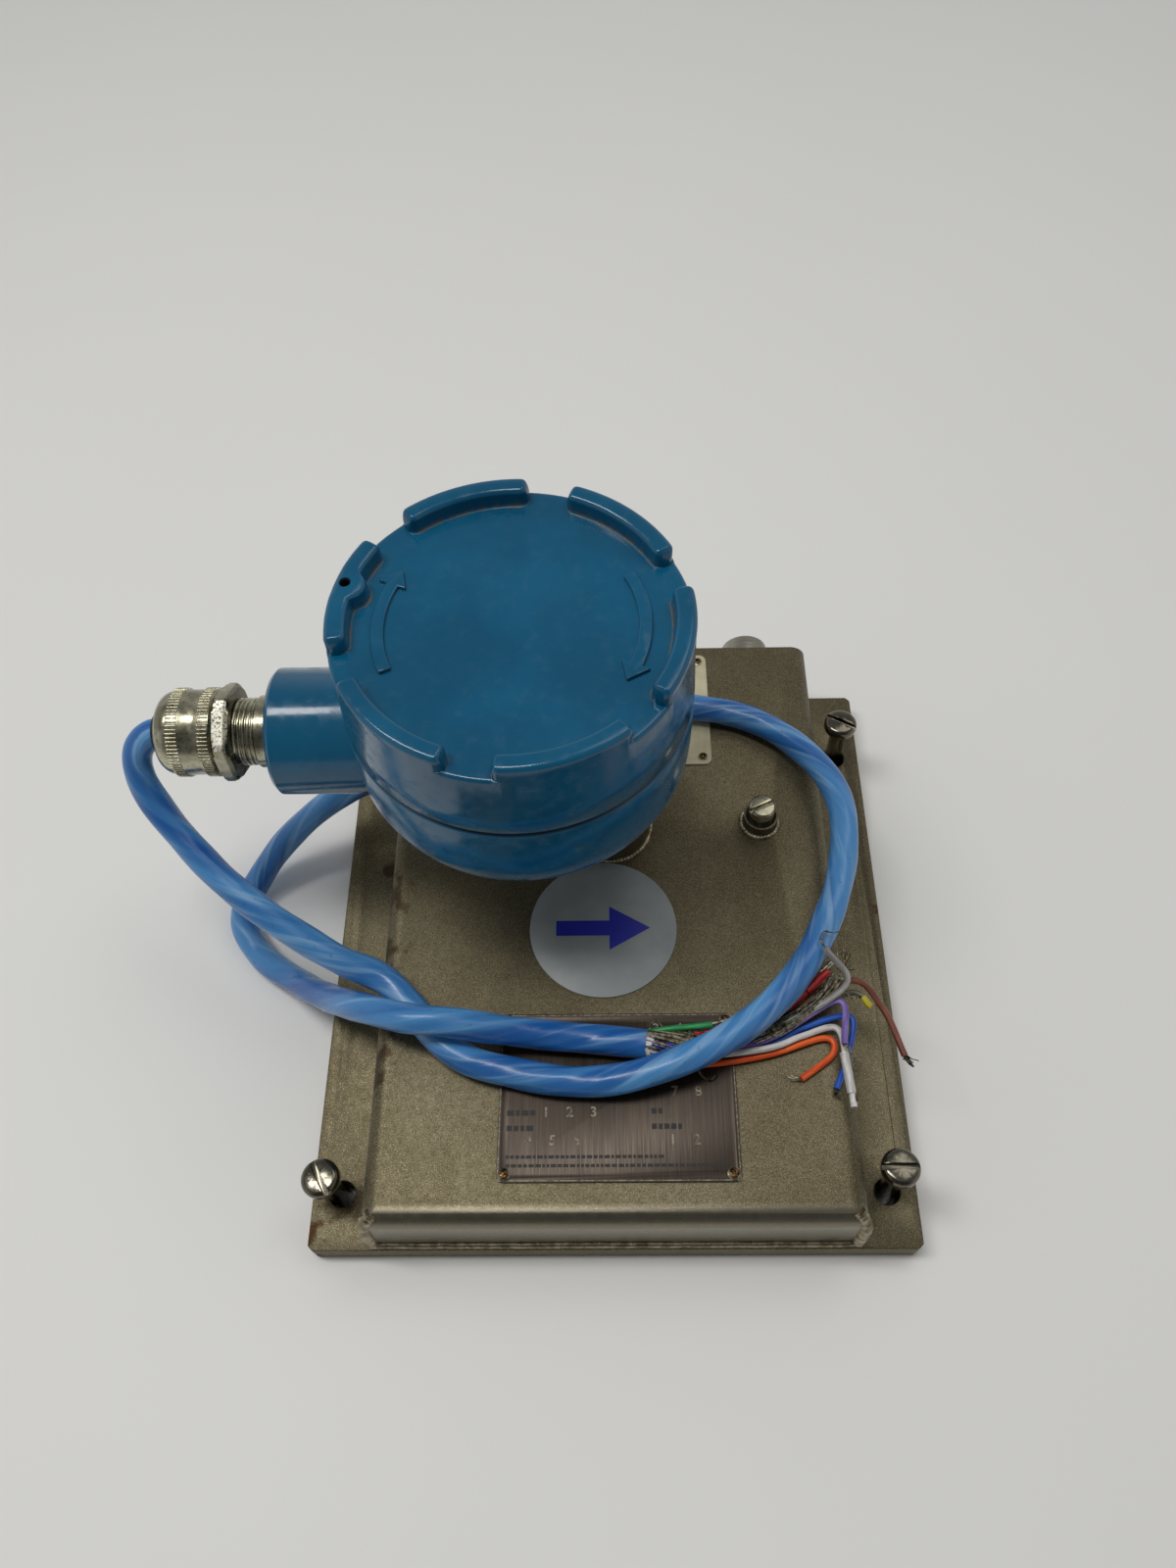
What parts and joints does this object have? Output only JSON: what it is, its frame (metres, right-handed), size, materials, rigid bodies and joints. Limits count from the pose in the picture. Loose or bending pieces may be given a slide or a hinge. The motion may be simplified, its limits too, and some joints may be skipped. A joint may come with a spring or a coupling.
{
  "type": "coriolis flow meter sensor",
  "caption": "Plate-mounted Coriolis mass flow sensor: welded sheet case with flow tubes, round screw-cover junction box, cable gland and cut cable with bare wire ends.",
  "frame": {"origin": "centre of the back plate's back face", "axes": "+Z out of the back face towards the junction box's cover, +Y towards the process fittings, +X to the outlet side"},
  "size_m": [0.2382, 0.215, 0.1475],
  "materials": {
    "blasted_steel": "matte bead-blasted stainless sheet",
    "machined_steel": "machined stainless",
    "blue_enamel": "glossy enamel",
    "zinc_plate": "worn bright zinc plating",
    "coil_copper": "varnished copper winding",
    "magnet_metal": "plain ground metal",
    "black_rubber": "soft black rubber",
    "dark_resin": "moulded phenolic",
    "green_screw": "green lacquer",
    "etched_plate": "dark brushed plate",
    "plate_rivet": "bright drive rivets",
    "grey_badge": "satin grey",
    "pale_plate": "pale dull foil plate",
    "screw_steel": "turned stainless",
    "jacket_blue": "glossy extruded jacket",
    "strand_metal": "tinned strands",
    "wire_red": "glossy insulation",
    "wire_orange": "glossy insulation",
    "wire_yellow": "glossy insulation",
    "wire_green": "glossy insulation",
    "wire_blue": "glossy insulation",
    "wire_violet": "glossy insulation",
    "wire_gray": "glossy insulation",
    "wire_white": "glossy insulation",
    "wire_brown": "glossy insulation"
  },
  "bodies": {
    "case": {"back_plate": "blasted_steel", "case_cover": "blasted_steel", "manifold": "machined_steel", "inlet_fitting": "machined_steel", "outlet_fitting": "machined_steel", "lower_flow_tube": "machined_steel", "upper_flow_tube": "machined_steel", "inlet_brace_bars": "blasted_steel", "outlet_brace_bars": "blasted_steel", "drive_coil": "coil_copper", "drive_magnet": "magnet_metal", "inlet_pickoff_coil": "coil_copper", "inlet_pickoff_magnet": "magnet_metal", "outlet_pickoff_coil": "coil_copper", "outlet_pickoff_magnet": "magnet_metal", "temperature_sensor": "machined_steel", "purge_boss": "blasted_steel", "neck": "blasted_steel", "feedthrough": "dark_resin", "jbox_body": "blue_enamel", "terminal_block": "dark_resin", "terminal_screws": "zinc_plate", "ground_screw": "green_screw", "gland_body": "zinc_plate", "gland_bushing": "black_rubber", "data_plate": "etched_plate", "data_plate_rivets": "plate_rivet", "badge_disc": "grey_badge", "approval_plate": "pale_plate", "approval_plate_rivets": "plate_rivet", "mounting_screws": "screw_steel", "cable_jacket": "jacket_blue", "green_strands": "strand_metal", "wire_red": "wire_red", "wire_orange": "wire_orange", "wire_yellow": "wire_yellow", "wire_green": "wire_green", "wire_blue": "wire_blue", "wire_violet": "wire_violet", "wire_gray": "wire_gray", "wire_white": "wire_white", "wire_brown": "wire_brown"},
    "cover_seal": {"cover_oring": "black_rubber"},
    "cover": {"jbox_cover": "blue_enamel"},
    "gland_slip_washer": {"gland_washer": "machined_steel"},
    "gland_nut": {"gland_nut": "zinc_plate"},
    "purge_seal": {"purge_seal": "black_rubber"},
    "purge_plug": {"purge_plug": "zinc_plate"}
  },
  "joints": [
    {"name": "cover_lift", "type": "slide", "parent": "case", "child": "cover_seal", "axis": [0, 0, 1], "range_m": [0, 0.014]},
    {"name": "cover_turn", "type": "hinge", "parent": "cover_seal", "child": "cover", "pos_m": [-0.025, 0.0305, 0.13], "axis": [0, 0, 1], "range_deg": [0, 2382]},
    {"name": "gland_nut_slide", "type": "slide", "parent": "case", "child": "gland_slip_washer", "axis": [-1, 0, 0], "range_m": [0, 0.003]},
    {"name": "gland_nut_turn", "type": "hinge", "parent": "gland_slip_washer", "child": "gland_nut", "pos_m": [-0.123, 0.0305, 0.094], "axis": [-1, 0, 0], "range_deg": [0, 772]},
    {"name": "purge_plug_lift", "type": "slide", "parent": "case", "child": "purge_seal", "axis": [0, 0, 1], "range_m": [0, 0.007]},
    {"name": "purge_plug_turn", "type": "hinge", "parent": "purge_seal", "child": "purge_plug", "pos_m": [0.0502, 0.0313, 0.041], "axis": [0, 0, 1], "range_deg": [0, 2521]}
  ],
  "couplings": [
    {"joint": "cover_turn", "follows": "cover_lift", "rad_per_m": 2968.4},
    {"joint": "gland_nut_turn", "follows": "gland_nut_slide", "rad_per_m": 4488},
    {"joint": "purge_plug_turn", "follows": "purge_plug_lift", "rad_per_m": 6283.2}
  ]
}
